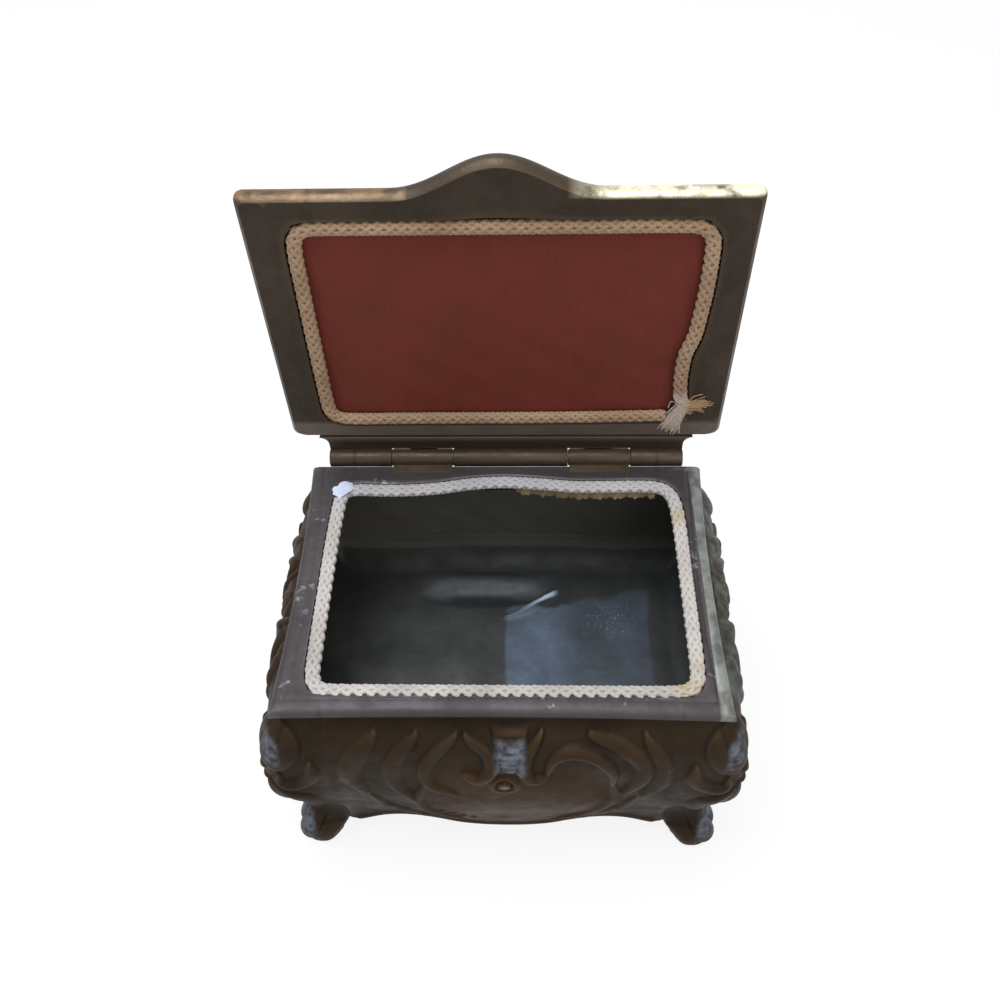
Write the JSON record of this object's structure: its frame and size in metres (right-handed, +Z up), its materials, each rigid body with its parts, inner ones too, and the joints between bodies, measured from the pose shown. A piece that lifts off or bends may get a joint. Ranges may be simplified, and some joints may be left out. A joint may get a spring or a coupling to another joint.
{
  "type": "keepsake box",
  "caption": "Small cast-metal keepsake box on scroll feet with a hinged lid, shown open, its lid lined in silk and its rim and lining edged in braided cord.",
  "frame": {"origin": "on the ground under the middle of the outline with the lid open, so the base's own middle is 4.75 mm in front of it", "axes": "+Z up, +X to the right seen from the front, +Y to the back, where the hinge is"},
  "size_m": [0.1214, 0.098, 0.1624],
  "materials": {
    "patinated_casting": "cast white metal with a dark brown bronze patina, rubbed bright on edges",
    "rim_metal": "cast white metal, patina worn to grey on the flat top",
    "inner_metal": "bare cast white metal, dull grey",
    "pin_steel": "tarnished steel pin",
    "lining_card": "pasteboard",
    "lining_silk": "dark red silk, faded and rubbed",
    "braided_cord": "braided off-white cotton cord, yellowed with glue",
    "cloth_tape": "scrap of thin white tape",
    "old_lining": "torn edge of an old lining, yellowed"
  },
  "bodies": {
    "base": {"rim_frame": "rim_metal", "front_panel": "patinated_casting", "back_panel": "patinated_casting", "left_panel": "patinated_casting", "right_panel": "patinated_casting", "front_left_corner": "patinated_casting", "front_right_corner": "patinated_casting", "back_left_corner": "patinated_casting", "back_right_corner": "patinated_casting", "floor_pan": "inner_metal", "rim_hinge_leaf": "patinated_casting", "hinge_pin": "pin_steel", "base_cord": "braided_cord", "cord_joint_tape": "cloth_tape", "lining_remnant": "old_lining"},
    "lid": {"lid_hinge_leaf": "patinated_casting", "lid_casting": "patinated_casting", "lining_card": "lining_card", "lining_silk": "lining_silk", "lid_cord": "braided_cord", "lid_cord_end": "braided_cord"}
  },
  "joints": [
    {"name": "lid_hinge", "type": "hinge", "parent": "base", "child": "lid", "pos_m": [0, 0.03525, 0.0713], "axis": [1, 0, 0], "range_deg": [0, 92]}
  ]
}
